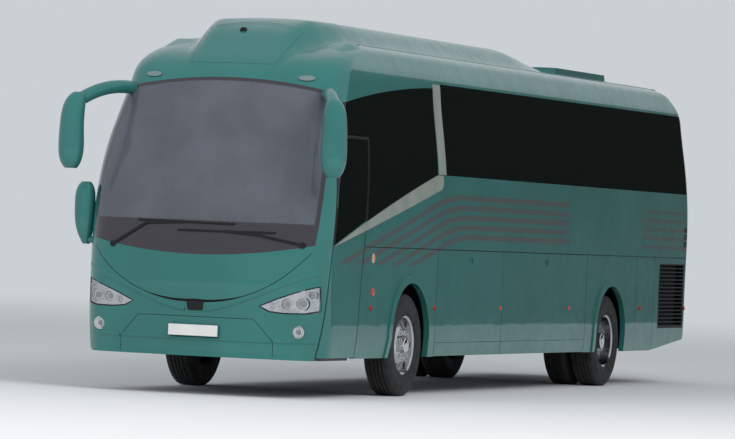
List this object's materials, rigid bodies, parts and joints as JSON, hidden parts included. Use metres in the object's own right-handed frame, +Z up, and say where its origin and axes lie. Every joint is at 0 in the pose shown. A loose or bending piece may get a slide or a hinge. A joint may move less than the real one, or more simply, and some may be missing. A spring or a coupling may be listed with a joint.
{
  "type": "touring coach",
  "caption": "Two-axle touring coach with a curved front, bonded side glazing, entry door, lift-up luggage doors, roof pod, engine lid and steered front wheels.",
  "frame": {"origin": "on the ground, under the middle of the whole box", "axes": "+X forward, +Y to the left (door side), +Z up"},
  "size_m": [13.0339, 3.0186, 3.7798],
  "materials": {
    "body_paint": "metallic gloss",
    "frame_black": "satin black",
    "trim_polished": "polished",
    "rim_polished": "polished",
    "lamp_chrome": "bright",
    "screen_glass": "clear",
    "dark_glass": "dark tint",
    "lamp_glass": "clear",
    "lamp_red": "gloss",
    "lamp_amber": "gloss",
    "tyre_black": "matt",
    "black_plastic": "matt",
    "grille_black": "matt",
    "plate_white": "blank",
    "floor_grey": "matt",
    "interior_grey": "matt",
    "seat_fabric": "woven",
    "axle_iron": "painted black",
    "mirror_face": "mirror"
  },
  "bodies": {
    "coach_body": {"underframe": "frame_black", "cabin_floor": "floor_grey", "left_upper_side": "body_paint", "right_upper_side": "body_paint", "left_lower_side": "body_paint", "right_lower_side": "body_paint", "front_mask": "body_paint", "front_flap": "body_paint", "front_bumper": "body_paint", "front_roof_cap": "body_paint", "roof": "body_paint", "rear_wall": "body_paint", "rear_bumper": "body_paint", "mirror_housings": "body_paint", "roof_pod": "body_paint", "roof_hatch": "body_paint", "windscreen": "screen_glass", "left_side_glass": "dark_glass", "right_side_glass": "dark_glass", "rear_window": "dark_glass", "headlamp_lenses": "lamp_glass", "headlamp_bowls": "lamp_chrome", "number_plates": "plate_white", "bright_trim": "trim_polished", "side_grilles": "grille_black", "marker_lamps": "lamp_amber", "tail_lamps": "lamp_red", "seats": "seat_fabric", "dashboard": "interior_grey", "luggage_racks": "interior_grey", "front_axle": "axle_iron", "rear_axle": "axle_iron", "engine": "axle_iron", "mirror_glasses": "mirror_face", "wipers": "black_plastic", "steering_wheel": "black_plastic"},
    "entry_door_arms": {"entry_door_arms": "black_plastic"},
    "entry_door": {"entry_door": "body_paint", "entry_door_glass": "dark_glass", "entry_door_trim": "trim_polished"},
    "left_front_luggage_arms": {"left_front_luggage_arms": "black_plastic"},
    "left_front_luggage_door": {"left_front_luggage_door": "body_paint"},
    "left_rear_luggage_arms": {"left_rear_luggage_arms": "black_plastic"},
    "left_rear_luggage_door": {"left_rear_luggage_door": "body_paint"},
    "right_front_luggage_arms": {"right_front_luggage_arms": "black_plastic"},
    "right_front_luggage_door": {"right_front_luggage_door": "body_paint"},
    "right_rear_luggage_arms": {"right_rear_luggage_arms": "black_plastic"},
    "right_rear_luggage_door": {"right_rear_luggage_door": "body_paint"},
    "engine_lid": {"engine_lid": "body_paint"},
    "left_knuckle": {"left_knuckle": "axle_iron"},
    "left_front_wheel": {"left_front_tyre": "tyre_black", "left_front_rim": "rim_polished"},
    "left_rear_wheels": {"left_rear_tyres": "tyre_black", "left_rear_rims": "rim_polished"},
    "right_knuckle": {"right_knuckle": "axle_iron"},
    "right_front_wheel": {"right_front_tyre": "tyre_black", "right_front_rim": "rim_polished"},
    "right_rear_wheels": {"right_rear_tyres": "tyre_black", "right_rear_rims": "rim_polished"}
  },
  "joints": [
    {"name": "entry_door_arm_swing", "type": "hinge", "parent": "coach_body", "child": "entry_door_arms", "pos_m": [5.9, 1.14, 1], "axis": [0, 0, -1], "range_deg": [0, 110]},
    {"name": "entry_door_leaf_turn", "type": "hinge", "parent": "entry_door_arms", "child": "entry_door", "pos_m": [5.4, 1.14, 1], "axis": [0, 0, -1], "range_deg": [-110, 0]},
    {"name": "left_front_luggage_arm_swing", "type": "hinge", "parent": "coach_body", "child": "left_front_luggage_arms", "pos_m": [1.8, 1.186, 1.18], "axis": [1, 0, 0], "range_deg": [0, 145]},
    {"name": "left_front_luggage_door_turn", "type": "hinge", "parent": "left_front_luggage_arms", "child": "left_front_luggage_door", "pos_m": [1.8, 1.186, 0.63], "axis": [1, 0, 0], "range_deg": [-145, 0]},
    {"name": "left_rear_luggage_arm_swing", "type": "hinge", "parent": "coach_body", "child": "left_rear_luggage_arms", "pos_m": [-0.8, 1.186, 1.18], "axis": [1, 0, 0], "range_deg": [0, 145]},
    {"name": "left_rear_luggage_door_turn", "type": "hinge", "parent": "left_rear_luggage_arms", "child": "left_rear_luggage_door", "pos_m": [-0.8, 1.186, 0.63], "axis": [1, 0, 0], "range_deg": [-145, 0]},
    {"name": "right_front_luggage_arm_swing", "type": "hinge", "parent": "coach_body", "child": "right_front_luggage_arms", "pos_m": [1.8, -1.186, 1.18], "axis": [-1, 0, 0], "range_deg": [0, 145]},
    {"name": "right_front_luggage_door_turn", "type": "hinge", "parent": "right_front_luggage_arms", "child": "right_front_luggage_door", "pos_m": [1.8, -1.186, 0.63], "axis": [-1, 0, 0], "range_deg": [-145, 0]},
    {"name": "right_rear_luggage_arm_swing", "type": "hinge", "parent": "coach_body", "child": "right_rear_luggage_arms", "pos_m": [-0.8, -1.186, 1.18], "axis": [-1, 0, 0], "range_deg": [0, 145]},
    {"name": "right_rear_luggage_door_turn", "type": "hinge", "parent": "right_rear_luggage_arms", "child": "right_rear_luggage_door", "pos_m": [-0.8, -1.186, 0.63], "axis": [-1, 0, 0], "range_deg": [-145, 0]},
    {"name": "engine_lid_hinge", "type": "hinge", "parent": "coach_body", "child": "engine_lid", "pos_m": [-6.513, 0, 2.056], "axis": [0, 1, 0], "range_deg": [0, 80]},
    {"name": "left_steering", "type": "hinge", "parent": "coach_body", "child": "left_knuckle", "pos_m": [3.67, 0.915, 0.522], "axis": [0, 0, 1], "range_deg": [-40, 40]},
    {"name": "left_front_wheel_roll", "type": "hinge", "parent": "left_knuckle", "child": "left_front_wheel", "pos_m": [3.67, 1.09, 0.522], "axis": [0, 1, 0], "continuous": true},
    {"name": "left_rear_wheels_roll", "type": "hinge", "parent": "coach_body", "child": "left_rear_wheels", "pos_m": [-3.26, 0.925, 0.522], "axis": [0, 1, 0], "continuous": true},
    {"name": "right_steering", "type": "hinge", "parent": "coach_body", "child": "right_knuckle", "pos_m": [3.67, -0.915, 0.522], "axis": [0, 0, 1], "range_deg": [-40, 40]},
    {"name": "right_front_wheel_roll", "type": "hinge", "parent": "right_knuckle", "child": "right_front_wheel", "pos_m": [3.67, -1.09, 0.522], "axis": [0, 1, 0], "continuous": true},
    {"name": "right_rear_wheels_roll", "type": "hinge", "parent": "coach_body", "child": "right_rear_wheels", "pos_m": [-3.26, -0.925, 0.522], "axis": [0, 1, 0], "continuous": true}
  ],
  "couplings": [
    {"joint": "entry_door_leaf_turn", "follows": "entry_door_arm_swing", "ratio": -1},
    {"joint": "left_front_luggage_door_turn", "follows": "left_front_luggage_arm_swing", "ratio": -1},
    {"joint": "left_rear_luggage_door_turn", "follows": "left_rear_luggage_arm_swing", "ratio": -1},
    {"joint": "right_front_luggage_door_turn", "follows": "right_front_luggage_arm_swing", "ratio": -1},
    {"joint": "right_rear_luggage_door_turn", "follows": "right_rear_luggage_arm_swing", "ratio": -1},
    {"joint": "right_steering", "follows": "left_steering", "ratio": 1}
  ]
}
